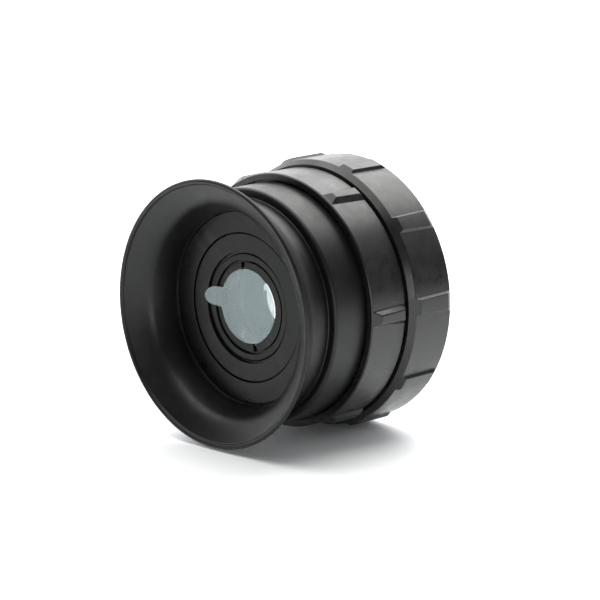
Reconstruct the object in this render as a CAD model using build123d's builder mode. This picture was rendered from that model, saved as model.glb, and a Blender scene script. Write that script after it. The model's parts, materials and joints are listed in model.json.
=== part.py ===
from build123d import *
from math import degrees
import os

# Lugged monocular eyepiece: a rubber eyecup on a fixed barrel, a dioptre ring that drives a sliding
# lens cell through three helical cams, and a captive threaded ring that clamps the eyepiece to an
# instrument.  Millimetres.  The optical axis is Y: the eye looks along +Y and the instrument is on
# the +Y side.  Every depth below is measured back from the eyecup's rim, and the origin is on the
# axis in the seat plane, where the instrument's face stops.

# ---------------------------------------------------------------- driving dimensions
SEAT_DEPTH = 37.5            # rim to seat plane
TOTAL_DEPTH = 44.0           # rim to the back of the coupling ring
FIT = 0.05                   # radial clearance of every running fit
TOUCH = 0.02                 # clearance between pieces that are clamped or cemented together
EDGE_BREAK = 0.25            # chamfer on machined outer edges
OVERCUT = 1.0                # how far a cutter runs past the face that it cuts
WASHER_GAP = 0.1             # radial play of the washers

# rubber eyecup
RIM_RADIUS = 29.2
RIM_ROUND = 0.6              # radius of the rolled rim
CUP_ROOT_RADIUS = 21.0       # inner edge of the funnel's root lip
CUP_ROOT_DEPTH = 10.3
CUP_LIP_THICKNESS = 0.7
CUP_LIP_BEVEL = 0.25         # radial width of the bevel that leads on to the root lip
CUP_LIP_BEVEL_DEPTH = 0.5
CUP_RIM_SLOPE = 0.55         # depth per radius where the funnel leaves the rim
CUP_ROOT_SLOPE = 0.02        # radius per depth where it meets the bevel
CUP_WAIST_RADIUS = 22.65     # point the funnel's curve passes through on its way to the root
CUP_WAIST_DEPTH = 4.7
FLARE_SLOPE = 0.5            # depth per radius where the outer flare meets the rim
NECK_RADIUS = 23.85
NECK_DEPTH = 8.6             # where the flare runs out into the straight neck
SHOULDER_DEPTH = 11.8        # front of the sleeve's rounded shoulder
SLEEVE_RADIUS = 25.85
SLEEVE_ROUND = 0.9
SLEEVE_BACK = 21.5
SLEEVE_DRAFT = 0.1           # how much the sleeve widens towards its back

# barrel
BARREL_FRONT = 13.0
BARREL_BACK = 34.0
BARREL_SLEEVE_RADIUS = 24.0  # under the rubber
CUP_BORE = BARREL_SLEEVE_RADIUS + TOUCH
BARREL_BORE = 21.5
RETAINER_BORE = 20.5         # threaded front end of the bore
RETAINER_BORE_BACK = 14.6
RIB_FRONT, RIB_BACK, RIB_RADIUS = 15.6, 16.6, 24.6
BEARING_RADIUS = 24.5        # the dioptre ring turns on this
BEARING_FRONT = 21.65
SHOULDER_RADIUS = 26.6       # thrust shoulder behind the dioptre ring
SHOULDER_FRONT, SHOULDER_BACK = 30.1, 31.25
SHOULDER_GAP = 0.15          # between the shoulder and the skirt of the dioptre ring
JOURNAL_RADIUS = 24.0        # the coupling ring turns on this
CLIP_FRONT, CLIP_BACK, CLIP_FLOOR, CLIP_RADIUS = 21.85, 22.25, 23.9, 25.9
CLIP_GAP = 4.0
SEAL_WIDTH, SEAL_FLOOR = 0.5, 24.0
FRONT_SEAL_DEPTH, REAR_SEAL_DEPTH = 22.75, 29.2
WASHER_THICKNESS = 0.25

# dioptre adjustment
CAM_TURN = 55.0              # degrees each way from rest
CAM_TRAVEL = 1.6             # cell travel each way for that turn
CAM_END_GAP = 0.5            # spare degrees at the ends of each groove
CAM_COUNT = 3
CAM_DEPTH = 26.0             # depth of the guide pins at rest
CAM_FLOOR = 26.0             # radius at the bottom of the grooves
PIN_RADIUS = 1.0
PIN_TIP = 25.9
PIN_ROOT = 18.0
CAM_LEAD = 360.0 * CAM_TRAVEL / CAM_TURN

# dioptre ring
DIOPTRE_FRONT, DIOPTRE_BACK = 20.85, 31.1
DIOPTRE_RADIUS = 27.85
DIOPTRE_MOUTH = 26.35        # front counterbore that clears the rubber sleeve
DIOPTRE_MOUTH_BACK = 22.4
DIOPTRE_THRUST_FACE = 29.75
DIOPTRE_LUGS = 6
DIOPTRE_LUG_PHASE = 0.0      # degrees from +X to the first lug, towards +Z
DIOPTRE_LUG_TOP = 28.85
DIOPTRE_LUG_FRONT, DIOPTRE_LUG_BACK = 21.3, 30.95
DIOPTRE_LUG_TOP_FRONT, DIOPTRE_LUG_TOP_BACK = 22.8, 30.0   # full height between the end ramps
DIOPTRE_LUG_BASE_HALF, DIOPTRE_LUG_TOP_HALF = 1.7, 0.75   # half widths at the front
DIOPTRE_LUG_FLARE = 1.55     # degrees of draft: the lugs widen towards the instrument

LUG_OVERRUN = 0.6            # how far the lug bars run past base and top before they are trimmed

# coupling ring
COUPLING_FRONT = 31.47
COUPLING_NOSE_RADIUS = 28.38
COUPLING_RADIUS = 29.4
COUPLING_CHAMFER_BACK = 32.73
COUPLING_LUGS = 10
COUPLING_LUG_PHASE = 2.2     # degrees from +X to the first lug, towards +Z
COUPLING_LUG_TOP = 30.05
COUPLING_LUG_BASE_HALF, COUPLING_LUG_TOP_HALF = 1.92, 1.52
COUPLING_LUG_FLARE = 1.25
COUPLING_LUG_TOP_BACK, COUPLING_LUG_BACK = 42.3, 43.2
COUPLING_LIP_BACK = 33.5
THREAD_RADIUS = 26.0         # major radius of the M52 x 0.75 thread
RELIEF_RADIUS = 26.4
MOUTH_CHAMFER = 0.8
COUPLING_REAR_CHAMFER = 0.6

# mounting flange
FLANGE_RADIUS = 25.4
FLANGE_SPIGOT_FRONT = 32.6
FLANGE_BORE = 17.0
WINDOW_RADIUS = 18.4
WINDOW_SEAT = 35.0
WINDOW_THICKNESS = 1.5
WINDOW_BEVEL = 0.2
WINDOW_OPENING = 17.0
SCREW_CIRCLE = 22.75
SCREW_COUNT = 4
FIRST_SCREW_ANGLE = 45.0     # degrees from +X
SCREW_RADIUS = 0.78
SCREW_HEAD_RADIUS = 1.5
SCREW_HEAD_FACE = 37.45
SCREW_HEAD_ANGLE = 90.0
SCREW_TIP = 30.6
SCREW_SOCKET = 0.6
GASKET_CIRCLE, GASKET_SECTION = 20.2, 0.5
INDEX_RADIUS, INDEX_LENGTH = 1.0, 2.0

# front faces
RETAINER_FACE = 10.5
RETAINER_INNER = 16.4
RETAINER_RIM = 21.8          # edge that the rubber lip hooks over
RETAINER_HOOK_FRONT = 11.02
RETAINER_BACK = 14.4
RETAINER_SKIRT = 18.0
RETAINER_LEDGE, RETAINER_LEDGE_BACK = 14.0, 13.2
PLATE_FACE = 10.75
PLATE_BACK = 12.3
PLATE_BORE = 12.2
PLATE_SEAM = 0.15            # dark seam round the face plate
PLATE_RIM_THICKNESS = 0.8
NOSE_SEAL_FRONT, NOSE_SEAL_BACK, NOSE_SEAL_RADIUS = 11.45, 12.0, 12.7

# lens cell
NOSE_RADIUS = 11.7
NOSE_FACE = 11.3
CELL_SHOULDER = 16.5
CELL_RADIUS = BARREL_BORE - FIT
CELL_BACK = 30.6
CELL_WAIST = 20.9
CELL_WAIST_FRONT, CELL_WAIST_BACK = 18.5, 23.6
EYE_BORE = 9.8               # thread for the front lens retainer
EYE_BORE_BACK = 13.2
EYE_MOUTH = 10.3             # counterbore that leaves a groove round the front lens retainer
EYE_MOUTH_BACK = 12.0
EYE_SEAT_RADIUS = 9.4
WEB_RADIUS = 8.6             # aperture of the web between the front lens and the doublet
WEB_FRONT, WEB_BACK = 14.56, 18.15
DOUBLET_BORE = 12.02
FIELD_SEAT = 25.2
FIELD_SEAT_RADIUS = 14.0
FIELD_BORE = 14.6            # thread for the rear lens retainer
FIELD_BORE_FRONT = 28.5

# lens retainers
EYE_OPENING = 8.0
EYE_RETAINER_FACE, EYE_RETAINER_BACK = 11.5, 13.1
EYE_LIP_BACK, EYE_SKIRT_FRONT = 11.83, 11.97
FIELD_OPENING = 8.2          # the rear lens retainer is also the field stop
FIELD_RETAINER_FRONT, FIELD_RETAINER_BACK = 28.62, 30.2
FIELD_LIP_RADIUS, FIELD_LIP_FRONT = 12.9, 28.95   # inside this the ring stands off the lens
SLOT_WIDTH = 1.1             # spanner slots
SLOT_DEPTH = 0.8
EYE_SLOT_ANGLE = 101.5       # degrees from +X to the first slot, towards +Z

# lenses
EYE_LENS_RADIUS = 9.35
EYE_LENS_FRONT, EYE_LENS_BACK = 11.55, 14.8
EYE_LENS_FRONT_SAG, EYE_LENS_BACK_SAG = 0.45, 0.35
DOUBLET_RADIUS = 12.0
CROWN_FRONT, CROWN_BACK = 17.93, 22.7
CROWN_FRONT_SAG, CROWN_BACK_SAG = 0.5, 0.8
FLINT_BACK, FLINT_BACK_SAG = 24.9, 0.6
FIELD_LENS_RADIUS = 13.95
FIELD_LENS_FRONT, FIELD_LENS_BACK = 25.4, 29.0
FIELD_LENS_FRONT_SAG, FIELD_LENS_BACK_SAG = 1.0, 0.5
SPACER_INNER, SPACER_OUTER = 10.8, 11.95
SPACER_FRONT, SPACER_BACK = 24.45, 25.97

# protective film on the eye lens
FILM_RADIUS = 8.15
FILM_FACE = 11.32
FILM_THICKNESS = 0.14
FILM_TAB_HALF = 2.15
FILM_TAB_REACH = 11.7
FILM_TAB_LIFT = 1.9
FILM_TAB_ANGLE = 6.6         # degrees from -X to the tab, towards +Z
FILM_TAB_BEND = 7.6          # where the tab starts to lift
FILM_CENTRE = (-0.3, -0.11)  # the disc was stuck on slightly off the axis, towards -X and +Z

os.makedirs("parts", exist_ok=True)

# Half section through the axis: local x is the radius, local y the depth behind the rim.
SECTION = Plane(origin=(0, -SEAT_DEPTH, 0), x_dir=(1, 0, 0), z_dir=(0, 0, 1))


def across(depth):
    """Plane square to the axis at a depth, facing the instrument; local x is +X and local y is -Z."""
    return Plane(origin=(0, depth - SEAT_DEPTH, 0), x_dir=(1, 0, 0), z_dir=(0, 1, 0))


def outline(*corners):
    """Half section with straight sides through (radius, depth) corners."""
    with BuildSketch(SECTION) as section:
        with BuildLine():
            Polyline(*corners, close=True)
        make_face()
    return section.sketch


def band(inner, outer, front, back):
    """Half section of a plain ring."""
    return outline((inner, front), (outer, front), (outer, back), (inner, back))


def lens_section(radius, front, back, front_sag, back_sag):
    """Half section of a lens: vertices at two depths, each sag the depth its rim falls inwards."""
    with BuildSketch(SECTION) as section:
        with BuildLine():
            face = TangentArc((0, front), (radius, front + front_sag), tangent=(1, 0))
            rear = TangentArc((0, back), (radius, back - back_sag), tangent=(1, 0))
            Line(face @ 1, rear @ 1)
            Line(rear @ 0, face @ 0)
        make_face()
    return section.sketch


def o_ring(circle, section, depth):
    """Half section of a seal whose cord is centred on a radius."""
    with BuildSketch(SECTION) as drawn:
        with Locations((circle, depth)):
            Circle(section)
    return drawn.sketch


def spanner_slots(radius, face, depth, turn):
    """Two opposite bars that cut spanner slots into a ring's face."""
    with BuildPart() as bars:
        with BuildSketch(across(face).rotated((0, 0, turn))):
            Rectangle(2 * radius, SLOT_WIDTH)
        extrude(amount=depth)
    return bars.part


def lugs(count, phase, envelope, front, flare, base_radius, top_radius, base_half, top_half):
    """Grip lugs: bars that widen from their front backwards, trimmed to a turned envelope."""
    taper = (base_half - top_half) / (top_radius - base_radius)
    root, over = base_radius - LUG_OVERRUN, top_radius + LUG_OVERRUN
    root_half, over_half = base_half + taper * LUG_OVERRUN, top_half - taper * LUG_OVERRUN
    with BuildPart() as bars:
        with BuildSketch(across(front)):
            with PolarLocations(0, count, start_angle=-phase):
                Polygon(
                    (root, -root_half),
                    (over, -over_half),
                    (over, over_half),
                    (root, root_half),
                    align=None,
                )
        extrude(amount=TOTAL_DEPTH - front, taper=-flare)
        revolve(envelope, axis=Axis.Y, mode=Mode.INTERSECT)
    return bars.part


def save(piece, label):
    """Label a finished piece and write its STEP file."""
    piece.label = label
    export_step(piece, f"parts/{label}.step")


# ---------------------------------------------------------------- eyecup
# A trumpet flare on a straight neck, a lip that hooks over the retainer, and a sleeve that grips
# the barrel with a groove over its rib.
with BuildPart() as eyecup:
    with BuildSketch(SECTION):
        with BuildLine():
            rim = ThreePointArc(
                (RIM_RADIUS, RIM_ROUND),
                (RIM_RADIUS - RIM_ROUND, 0),
                (RIM_RADIUS - 2 * RIM_ROUND, RIM_ROUND),
            )
            funnel = Spline(
                rim @ 1,
                (CUP_WAIST_RADIUS, CUP_WAIST_DEPTH),
                (CUP_ROOT_RADIUS + CUP_LIP_BEVEL, CUP_ROOT_DEPTH - CUP_LIP_BEVEL_DEPTH),
                tangents=[(-1, CUP_RIM_SLOPE), (-CUP_ROOT_SLOPE, 1)],
            )
            Polyline(
                funnel @ 1,
                (CUP_ROOT_RADIUS, CUP_ROOT_DEPTH),
                (CUP_ROOT_RADIUS, CUP_ROOT_DEPTH + CUP_LIP_THICKNESS),
                (RETAINER_RIM + TOUCH, CUP_ROOT_DEPTH + CUP_LIP_THICKNESS),
                (RETAINER_RIM + TOUCH, BARREL_FRONT),
                (CUP_BORE, BARREL_FRONT),
                (CUP_BORE, RIB_FRONT - TOUCH),
                (RIB_RADIUS + TOUCH, RIB_FRONT - TOUCH),
                (RIB_RADIUS + TOUCH, RIB_BACK + TOUCH),
                (CUP_BORE, RIB_BACK + TOUCH),
                (CUP_BORE, SLEEVE_BACK),
                (SLEEVE_RADIUS + SLEEVE_DRAFT, SLEEVE_BACK),
                (SLEEVE_RADIUS, SHOULDER_DEPTH + SLEEVE_ROUND),
            )
            shoulder = RadiusArc(
                (SLEEVE_RADIUS, SHOULDER_DEPTH + SLEEVE_ROUND),
                (SLEEVE_RADIUS - SLEEVE_ROUND, SHOULDER_DEPTH),
                SLEEVE_ROUND,
            )
            Polyline(shoulder @ 1, (NECK_RADIUS, SHOULDER_DEPTH), (NECK_RADIUS, NECK_DEPTH))
            Spline((NECK_RADIUS, NECK_DEPTH), rim @ 0, tangents=[(0, -1), (1, -FLARE_SLOPE)])
        make_face()
    revolve(axis=Axis.Y)
save(eyecup.part, "eyecup")

# ---------------------------------------------------------------- barrel
with BuildPart() as barrel:
    revolve(
        outline(
            (RETAINER_BORE, BARREL_FRONT),
            (BARREL_SLEEVE_RADIUS, BARREL_FRONT),
            (BARREL_SLEEVE_RADIUS, RIB_FRONT),
            (RIB_RADIUS, RIB_FRONT),
            (RIB_RADIUS, RIB_BACK),
            (BARREL_SLEEVE_RADIUS, RIB_BACK),
            (BARREL_SLEEVE_RADIUS, BEARING_FRONT),
            (BEARING_RADIUS, BEARING_FRONT),
            (BEARING_RADIUS, SHOULDER_FRONT),
            (SHOULDER_RADIUS, SHOULDER_FRONT),
            (SHOULDER_RADIUS, SHOULDER_BACK),
            (JOURNAL_RADIUS, SHOULDER_BACK),
            (JOURNAL_RADIUS, BARREL_BACK),
            (BARREL_BORE, BARREL_BACK),
            (BARREL_BORE, RETAINER_BORE_BACK),
            (RETAINER_BORE, RETAINER_BORE_BACK),
        ),
        axis=Axis.Y,
    )
    # groove for the spring clip that keeps the dioptre ring on
    clip_groove = band(CLIP_FLOOR, BEARING_RADIUS + OVERCUT, CLIP_FRONT, CLIP_BACK)
    revolve(clip_groove, axis=Axis.Y, mode=Mode.SUBTRACT)
    # grooves for the two grease seals under the dioptre ring
    for seal_depth in (FRONT_SEAL_DEPTH, REAR_SEAL_DEPTH):
        half_width = SEAL_WIDTH / 2 + TOUCH
        groove = band(
            SEAL_FLOOR,
            BEARING_RADIUS + OVERCUT,
            seal_depth - half_width,
            seal_depth + half_width,
        )
        revolve(groove, axis=Axis.Y, mode=Mode.SUBTRACT)
    # straight slots that keep the cell from turning
    with BuildSketch(Plane.XY):
        with Locations((0, CAM_DEPTH - SEAT_DEPTH)):
            SlotCenterToCenter(2 * (CAM_TRAVEL + FIT), 2 * (PIN_RADIUS + FIT), rotation=90)
    slot = extrude(amount=2 * BEARING_RADIUS, mode=Mode.PRIVATE)
    for cam in range(CAM_COUNT):
        add(slot.rotate(Axis.Y, cam * 360 / CAM_COUNT), mode=Mode.SUBTRACT)
    # tapped holes for the flange screws
    with BuildSketch(across(BARREL_BACK)):
        with PolarLocations(SCREW_CIRCLE, SCREW_COUNT, start_angle=FIRST_SCREW_ANGLE):
            Circle(SCREW_RADIUS + TOUCH)
    extrude(amount=SCREW_TIP - BARREL_BACK - TOUCH, mode=Mode.SUBTRACT)
save(barrel.part, "barrel")

# ---------------------------------------------------------------- dioptre ring and its running parts
# One cam groove: a helix of rectangular section, swept at the height of its own middle.
pin_half_angle = degrees((PIN_RADIUS + FIT) / BEARING_RADIUS)
groove_turn = 2 * (CAM_TURN + CAM_END_GAP + pin_half_angle)
groove_travel = CAM_LEAD * groove_turn / 360
groove_middle = (BEARING_RADIUS - OVERCUT + CAM_FLOOR) / 2
groove_height = CAM_FLOOR - BEARING_RADIUS + OVERCUT
groove_width = 2 * (PIN_RADIUS + FIT)
with BuildPart() as cam_groove:
    with BuildLine():
        path = Helix(
            pitch=CAM_LEAD,
            height=groove_travel,
            radius=groove_middle,
            center=(0, CAM_DEPTH - SEAT_DEPTH - groove_travel / 2, 0),
            direction=(0, 1, 0),
            lefthand=True,
        )
    start = path @ 0
    with BuildSketch(Plane(origin=start, x_dir=(start.X, 0, start.Z), z_dir=path % 0)):
        Rectangle(groove_height, groove_width)
    sweep(path=path, is_frenet=True)
    # straight lead-in from the ring's front, so that the ring slides on over the guide pins
    with BuildSketch(across(DIOPTRE_MOUTH_BACK - OVERCUT).rotated((0, 0, -90))):
        with PolarLocations(groove_middle, 1, start_angle=-pin_half_angle):
            Rectangle(groove_height, groove_width)
    extrude(amount=CAM_DEPTH - CAM_TRAVEL - DIOPTRE_MOUTH_BACK + OVERCUT)

with BuildPart() as dioptre_ring:
    revolve(
        outline(
            (DIOPTRE_MOUTH, DIOPTRE_FRONT),
            (DIOPTRE_RADIUS - EDGE_BREAK, DIOPTRE_FRONT),
            (DIOPTRE_RADIUS, DIOPTRE_FRONT + EDGE_BREAK),
            (DIOPTRE_RADIUS, DIOPTRE_BACK - EDGE_BREAK),
            (DIOPTRE_RADIUS - EDGE_BREAK, DIOPTRE_BACK),
            (SHOULDER_RADIUS + SHOULDER_GAP, DIOPTRE_BACK),
            (SHOULDER_RADIUS + SHOULDER_GAP, DIOPTRE_THRUST_FACE),
            (BEARING_RADIUS + FIT, DIOPTRE_THRUST_FACE),
            (BEARING_RADIUS + FIT, DIOPTRE_MOUTH_BACK),
            (DIOPTRE_MOUTH, DIOPTRE_MOUTH_BACK),
        ),
        axis=Axis.Y,
    )
    dioptre_envelope = outline(
        (DIOPTRE_RADIUS - LUG_OVERRUN, DIOPTRE_LUG_FRONT),
        (DIOPTRE_RADIUS, DIOPTRE_LUG_FRONT),
        (DIOPTRE_LUG_TOP, DIOPTRE_LUG_TOP_FRONT),
        (DIOPTRE_LUG_TOP, DIOPTRE_LUG_TOP_BACK),
        (DIOPTRE_RADIUS, DIOPTRE_LUG_BACK),
        (DIOPTRE_RADIUS - LUG_OVERRUN, DIOPTRE_LUG_BACK),
    )
    add(
        lugs(
            DIOPTRE_LUGS,
            DIOPTRE_LUG_PHASE,
            dioptre_envelope,
            DIOPTRE_LUG_FRONT,
            DIOPTRE_LUG_FLARE,
            DIOPTRE_RADIUS,
            DIOPTRE_LUG_TOP,
            DIOPTRE_LUG_BASE_HALF,
            DIOPTRE_LUG_TOP_HALF,
        )
    )
    for cam in range(CAM_COUNT):
        turn = groove_turn / 2 + cam * 360 / CAM_COUNT
        add(cam_groove.part.rotate(Axis.Y, turn), mode=Mode.SUBTRACT)
save(dioptre_ring.part, "dioptre_ring")

with BuildPart() as dioptre_clip:
    revolve(band(CLIP_FLOOR + TOUCH, CLIP_RADIUS, CLIP_FRONT + TOUCH, CLIP_BACK - TOUCH), axis=Axis.Y)
    with BuildSketch(across(CLIP_FRONT)):
        with Locations((0, CLIP_RADIUS)):
            Rectangle(CLIP_GAP, 2 * (CLIP_RADIUS - CLIP_FLOOR))
    extrude(amount=CLIP_BACK - CLIP_FRONT, mode=Mode.SUBTRACT)
save(dioptre_clip.part, "dioptre_clip")

with BuildPart() as dioptre_front_seal:
    revolve(o_ring(BEARING_RADIUS - SEAL_WIDTH / 2, SEAL_WIDTH / 2, FRONT_SEAL_DEPTH), axis=Axis.Y)
save(dioptre_front_seal.part, "dioptre_front_seal")

with BuildPart() as dioptre_rear_seal:
    revolve(o_ring(BEARING_RADIUS - SEAL_WIDTH / 2, SEAL_WIDTH / 2, REAR_SEAL_DEPTH), axis=Axis.Y)
save(dioptre_rear_seal.part, "dioptre_rear_seal")

with BuildPart() as thrust_washer:
    revolve(
        band(
            BEARING_RADIUS + WASHER_GAP,
            SHOULDER_RADIUS - WASHER_GAP,
            SHOULDER_FRONT - FIT - WASHER_THICKNESS,
            SHOULDER_FRONT - FIT,
        ),
        axis=Axis.Y,
    )
save(thrust_washer.part, "thrust_washer")

# ---------------------------------------------------------------- front retainer, face plate and wiper
with BuildPart() as eyecup_retainer:
    revolve(
        outline(
            (RETAINER_INNER, RETAINER_FACE),
            (CUP_ROOT_RADIUS - FIT, RETAINER_FACE),
            (CUP_ROOT_RADIUS - FIT, RETAINER_HOOK_FRONT),
            (RETAINER_RIM, RETAINER_HOOK_FRONT),
            (RETAINER_RIM, BARREL_FRONT - TOUCH),
            (RETAINER_BORE - TOUCH, BARREL_FRONT - TOUCH),
            (RETAINER_BORE - TOUCH, RETAINER_BACK),
            (RETAINER_SKIRT, RETAINER_BACK),
            (RETAINER_SKIRT, RETAINER_LEDGE_BACK),
            (RETAINER_LEDGE, RETAINER_LEDGE_BACK),
            (RETAINER_LEDGE, PLATE_BACK + TOUCH),
            (RETAINER_INNER, PLATE_BACK + TOUCH),
        ),
        axis=Axis.Y,
    )
save(eyecup_retainer.part, "eyecup_retainer")

with BuildPart() as face_plate:
    revolve(
        outline(
            (PLATE_BORE, PLATE_FACE),
            (RETAINER_INNER - PLATE_SEAM - EDGE_BREAK, PLATE_FACE),
            (RETAINER_INNER - PLATE_SEAM, PLATE_FACE + EDGE_BREAK),
            (RETAINER_INNER - PLATE_SEAM, PLATE_BACK - PLATE_RIM_THICKNESS),
            (RETAINER_INNER - TOUCH, PLATE_BACK - PLATE_RIM_THICKNESS),
            (RETAINER_INNER - TOUCH, PLATE_BACK),
            (PLATE_BORE, PLATE_BACK),
        ),
        axis=Axis.Y,
    )
    wiper_groove = band(
        PLATE_BORE - OVERCUT,
        NOSE_SEAL_RADIUS + TOUCH,
        NOSE_SEAL_FRONT - TOUCH,
        NOSE_SEAL_BACK + TOUCH,
    )
    revolve(wiper_groove, axis=Axis.Y, mode=Mode.SUBTRACT)
save(face_plate.part, "face_plate")

with BuildPart() as nose_seal:
    revolve(
        band(NOSE_RADIUS + FIT, NOSE_SEAL_RADIUS, NOSE_SEAL_FRONT, NOSE_SEAL_BACK),
        axis=Axis.Y,
    )
save(nose_seal.part, "nose_seal")

# ---------------------------------------------------------------- sliding lens cell
with BuildPart() as lens_cell:
    revolve(
        outline(
            (EYE_MOUTH, NOSE_FACE),
            (NOSE_RADIUS - EDGE_BREAK, NOSE_FACE),
            (NOSE_RADIUS, NOSE_FACE + EDGE_BREAK),
            (NOSE_RADIUS, CELL_SHOULDER),
            (CELL_RADIUS, CELL_SHOULDER),
            (CELL_RADIUS, CELL_WAIST_FRONT),
            (CELL_WAIST, CELL_WAIST_FRONT),
            (CELL_WAIST, CELL_WAIST_BACK),
            (CELL_RADIUS, CELL_WAIST_BACK),
            (CELL_RADIUS, CELL_BACK),
            (FIELD_BORE, CELL_BACK),
            (FIELD_BORE, FIELD_BORE_FRONT),
            (FIELD_SEAT_RADIUS, FIELD_BORE_FRONT),
            (FIELD_SEAT_RADIUS, FIELD_SEAT),
            (DOUBLET_BORE, FIELD_SEAT),
            (DOUBLET_BORE, WEB_BACK),
            (WEB_RADIUS, WEB_BACK),
            (WEB_RADIUS, WEB_FRONT),
            (EYE_SEAT_RADIUS, WEB_FRONT),
            (EYE_SEAT_RADIUS, EYE_BORE_BACK),
            (EYE_BORE, EYE_BORE_BACK),
            (EYE_BORE, EYE_MOUTH_BACK),
            (EYE_MOUTH, EYE_MOUTH_BACK),
        ),
        axis=Axis.Y,
    )
    # cross holes for the guide pins
    with BuildSketch(Plane.XY.offset(PIN_ROOT - TOUCH)):
        with Locations((0, CAM_DEPTH - SEAT_DEPTH)):
            Circle(PIN_RADIUS + TOUCH)
    pin_hole = extrude(amount=CELL_RADIUS - PIN_ROOT + OVERCUT, mode=Mode.PRIVATE)
    for cam in range(CAM_COUNT):
        add(pin_hole.rotate(Axis.Y, cam * 360 / CAM_COUNT), mode=Mode.SUBTRACT)
save(lens_cell.part, "lens_cell")

with BuildPart() as guide_pins:
    with BuildSketch(Plane.XY.offset(PIN_ROOT)):
        with Locations((0, CAM_DEPTH - SEAT_DEPTH)):
            Circle(PIN_RADIUS)
    pin = extrude(amount=PIN_TIP - PIN_ROOT, mode=Mode.PRIVATE)
    for cam in range(CAM_COUNT):
        add(pin.rotate(Axis.Y, cam * 360 / CAM_COUNT))
save(guide_pins.part, "guide_pins")

with BuildPart() as eye_lens_retainer:
    revolve(
        outline(
            (EYE_OPENING, EYE_RETAINER_FACE),
            (EYE_BORE - TOUCH, EYE_RETAINER_FACE),
            (EYE_BORE - TOUCH, EYE_RETAINER_BACK),
            (EYE_SEAT_RADIUS, EYE_RETAINER_BACK),
            (EYE_SEAT_RADIUS, EYE_SKIRT_FRONT),
            (EYE_OPENING, EYE_LIP_BACK),
        ),
        axis=Axis.Y,
    )
    add(spanner_slots(EYE_BORE, EYE_RETAINER_FACE, SLOT_DEPTH, -EYE_SLOT_ANGLE), mode=Mode.SUBTRACT)
save(eye_lens_retainer.part, "eye_lens_retainer")

with BuildPart() as field_lens_retainer:
    revolve(
        outline(
            (FIELD_OPENING, FIELD_LIP_FRONT),
            (FIELD_LIP_RADIUS, FIELD_LIP_FRONT),
            (FIELD_LIP_RADIUS, FIELD_RETAINER_FRONT),
            (FIELD_BORE - TOUCH, FIELD_RETAINER_FRONT),
            (FIELD_BORE - TOUCH, FIELD_RETAINER_BACK),
            (FIELD_OPENING, FIELD_RETAINER_BACK),
        ),
        axis=Axis.Y,
    )
    rear_bars = spanner_slots(FIELD_BORE, FIELD_RETAINER_BACK - SLOT_DEPTH, SLOT_DEPTH, 0)
    add(rear_bars, mode=Mode.SUBTRACT)
save(field_lens_retainer.part, "field_lens_retainer")

with BuildPart() as lens_spacer:
    revolve(band(SPACER_INNER, SPACER_OUTER, SPACER_FRONT, SPACER_BACK), axis=Axis.Y)
save(lens_spacer.part, "lens_spacer")

with BuildPart() as eye_lens:
    revolve(
        lens_section(
            EYE_LENS_RADIUS,
            EYE_LENS_FRONT,
            EYE_LENS_BACK,
            EYE_LENS_FRONT_SAG,
            EYE_LENS_BACK_SAG,
        ),
        axis=Axis.Y,
    )
save(eye_lens.part, "eye_lens")

with BuildPart() as doublet_crown:
    revolve(
        lens_section(DOUBLET_RADIUS, CROWN_FRONT, CROWN_BACK, CROWN_FRONT_SAG, CROWN_BACK_SAG),
        axis=Axis.Y,
    )
save(doublet_crown.part, "doublet_crown")

with BuildPart() as doublet_flint:
    revolve(
        lens_section(
            DOUBLET_RADIUS,
            CROWN_BACK + TOUCH,
            FLINT_BACK,
            -CROWN_BACK_SAG,
            FLINT_BACK_SAG,
        ),
        axis=Axis.Y,
    )
save(doublet_flint.part, "doublet_flint")

with BuildPart() as field_lens:
    revolve(
        lens_section(
            FIELD_LENS_RADIUS,
            FIELD_LENS_FRONT,
            FIELD_LENS_BACK,
            FIELD_LENS_FRONT_SAG,
            FIELD_LENS_BACK_SAG,
        ),
        axis=Axis.Y,
    )
save(field_lens.part, "field_lens")

# A film disc with a lifted pull tab, set slightly off centre.
with BuildPart() as film_tab:
    with BuildSketch(SECTION):
        with BuildLine():
            front = TangentArc(
                (-FILM_TAB_BEND, FILM_FACE),
                (-FILM_TAB_REACH, FILM_FACE - FILM_TAB_LIFT),
                tangent=(-1, 0),
            )
            back = TangentArc(
                (-FILM_TAB_BEND, FILM_FACE + FILM_THICKNESS),
                (-FILM_TAB_REACH, FILM_FACE + FILM_THICKNESS - FILM_TAB_LIFT),
                tangent=(-1, 0),
            )
            Line(front @ 1, back @ 1)
            Polyline(
                front @ 0,
                (0, FILM_FACE),
                (0, FILM_FACE + FILM_THICKNESS),
                back @ 0,
            )
        make_face()
    extrude(amount=FILM_TAB_HALF, both=True)
    with BuildSketch(across(0)):
        with Locations(((FILM_TAB_HALF - FILM_TAB_REACH) / 2, 0)):
            SlotCenterToCenter(FILM_TAB_REACH - FILM_TAB_HALF, 2 * FILM_TAB_HALF)
    extrude(amount=TOTAL_DEPTH, mode=Mode.INTERSECT)

with BuildPart() as protective_film:
    with BuildSketch(across(FILM_FACE)):
        with Locations(FILM_CENTRE):
            Circle(FILM_RADIUS)
    extrude(amount=FILM_THICKNESS)
    add(film_tab.part.rotate(Axis.Y, FILM_TAB_ANGLE))
save(protective_film.part, "protective_film")

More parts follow.
